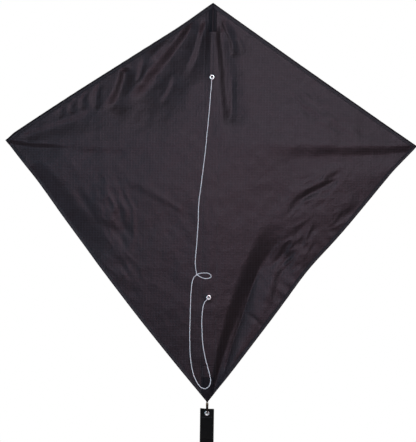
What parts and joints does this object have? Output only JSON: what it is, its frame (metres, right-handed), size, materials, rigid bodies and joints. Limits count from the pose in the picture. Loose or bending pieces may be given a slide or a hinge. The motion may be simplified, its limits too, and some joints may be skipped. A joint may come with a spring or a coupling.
{
  "type": "diamond kite",
  "caption": "Black single-line diamond kite with spine, bowed spreader, cord bridle through eyelets, and a ribbon tail hung on a cord loop.",
  "frame": {"origin": "the middle of the centre fitting's flat back, behind the crossing of the spine and the spreader", "axes": "+Z from the tail to the nose, +X to the flyer's right, -Y towards the flyer; the sail is 13.9 mm in front of the origin"},
  "size_m": [0.7394, 0.0189, 1.1687],
  "materials": {
    "ripstop": "black ripstop polyester or nylon with a soft sheen",
    "binding_tape": "black woven edge tape, stitched",
    "tail_ribbon": "black 25 mm ribbon",
    "bridle_cord": "white braided cord, 1.5 mm",
    "tie_cord": "dark brown-black cord",
    "fibreglass": "black pultruded fibreglass",
    "vinyl": "black soft vinyl",
    "nickel": "nickel-plated, satin"
  },
  "bodies": {
    "keel": {"sail_centre": "ripstop", "spine_sleeve": "ripstop", "nose_binding": "binding_tape", "tail_binding": "binding_tape", "nose_patch": "binding_tape", "tail_patch": "binding_tape", "nose_pocket": "binding_tape", "tail_pocket": "binding_tape", "spine_rod": "fibreglass", "spreader_middle": "fibreglass", "nose_cap": "vinyl", "tail_cap": "vinyl", "centre_fitting": "vinyl", "upper_eyelet": "nickel", "upper_eyelet_washer": "nickel", "lower_eyelet": "nickel", "lower_eyelet_washer": "nickel", "upper_bridle_hitch": "bridle_cord", "lower_bridle_hitch": "bridle_cord"},
    "left_wing": {"sail_left": "ripstop", "left_upper_binding": "binding_tape", "left_lower_binding": "binding_tape", "left_tip_pocket": "binding_tape", "left_spreader": "fibreglass", "left_tip_cap": "vinyl"},
    "right_wing": {"sail_right": "ripstop", "right_upper_binding": "binding_tape", "right_lower_binding": "binding_tape", "right_tip_pocket": "binding_tape", "right_spreader": "fibreglass", "right_tip_cap": "vinyl"},
    "bridle_upper": {"bridle_upper_leg": "bridle_cord"},
    "tow_loop": {"tow_loop": "bridle_cord"},
    "bridle_lower": {"bridle_lower_leg": "bridle_cord"},
    "bridle_return": {"bridle_return_leg": "bridle_cord"},
    "tail_tie": {"tail_tie": "tie_cord"},
    "tail_1": {"tail_ribbon_1": "tail_ribbon", "tail_eyelet": "nickel", "tail_eyelet_washer": "nickel"},
    "tail_2": {"tail_ribbon_2": "tail_ribbon"},
    "tail_3": {"tail_ribbon_3": "tail_ribbon"},
    "tail_4": {"tail_ribbon_4": "tail_ribbon"}
  },
  "joints": [
    {"name": "wing_bow", "type": "hinge", "parent": "keel", "child": "right_wing", "pos_m": [0.015, -0.0031, 0], "axis": [0, 0, 1], "range_deg": [0, 18], "stiffness_Nm_per_rad": 1.4},
    {"name": "wing_bow_left", "type": "hinge", "parent": "keel", "child": "left_wing", "pos_m": [-0.015, -0.0031, 0], "axis": [0, 0, -1], "range_deg": [0, 18], "stiffness_Nm_per_rad": 1.4},
    {"name": "bridle_pull", "type": "hinge", "parent": "keel", "child": "bridle_upper", "pos_m": [0, -0.017, 0.1185], "axis": [-1, 0, 0], "range_deg": [0, 58], "stiffness_Nm_per_rad": 0.0005},
    {"name": "tow_loop_turn", "type": "hinge", "parent": "bridle_upper", "child": "tow_loop", "pos_m": [-0.0215, -0.017, -0.236], "axis": [0, 0.848, -0.5299], "range_deg": [0, 90]},
    {"name": "bridle_lower_swing", "type": "hinge", "parent": "keel", "child": "bridle_lower", "pos_m": [0, -0.017, -0.277], "axis": [-1, 0, 0], "range_deg": [0, 124]},
    {"name": "bridle_lower_unfold", "type": "hinge", "parent": "bridle_lower", "child": "bridle_return", "pos_m": [-0.0043, -0.017, -0.4405], "axis": [1, 0, 0], "range_deg": [0, 179]},
    {"name": "tail_swing", "type": "hinge", "parent": "keel", "child": "tail_tie", "pos_m": [0, -0.0139, -0.467], "axis": [1, 0, 0], "range_deg": [-60, 60]},
    {"name": "tail_sway", "type": "hinge", "parent": "tail_tie", "child": "tail_1", "pos_m": [0, -0.0139, -0.485], "axis": [0, 1, 0], "range_deg": [-35, 35]},
    {"name": "tail_curl", "type": "hinge", "parent": "tail_1", "child": "tail_2", "pos_m": [0, -0.0139, -0.587], "axis": [1, 0, 0], "range_deg": [-20, 20]},
    {"name": "tail_curl_3", "type": "hinge", "parent": "tail_2", "child": "tail_3", "pos_m": [0, -0.0139, -0.697], "axis": [1, 0, 0], "range_deg": [-20, 20]},
    {"name": "tail_curl_4", "type": "hinge", "parent": "tail_3", "child": "tail_4", "pos_m": [0, -0.0139, -0.807], "axis": [1, 0, 0], "range_deg": [-20, 20]}
  ],
  "couplings": [
    {"joint": "wing_bow_left", "follows": "wing_bow", "ratio": 1},
    {"joint": "tow_loop_turn", "follows": "bridle_pull", "ratio": 1.55},
    {"joint": "bridle_lower_swing", "follows": "bridle_pull", "ratio": 2.135},
    {"joint": "bridle_lower_unfold", "follows": "bridle_pull", "ratio": 3.079},
    {"joint": "tail_curl_3", "follows": "tail_curl", "ratio": 1},
    {"joint": "tail_curl_4", "follows": "tail_curl", "ratio": 1}
  ]
}
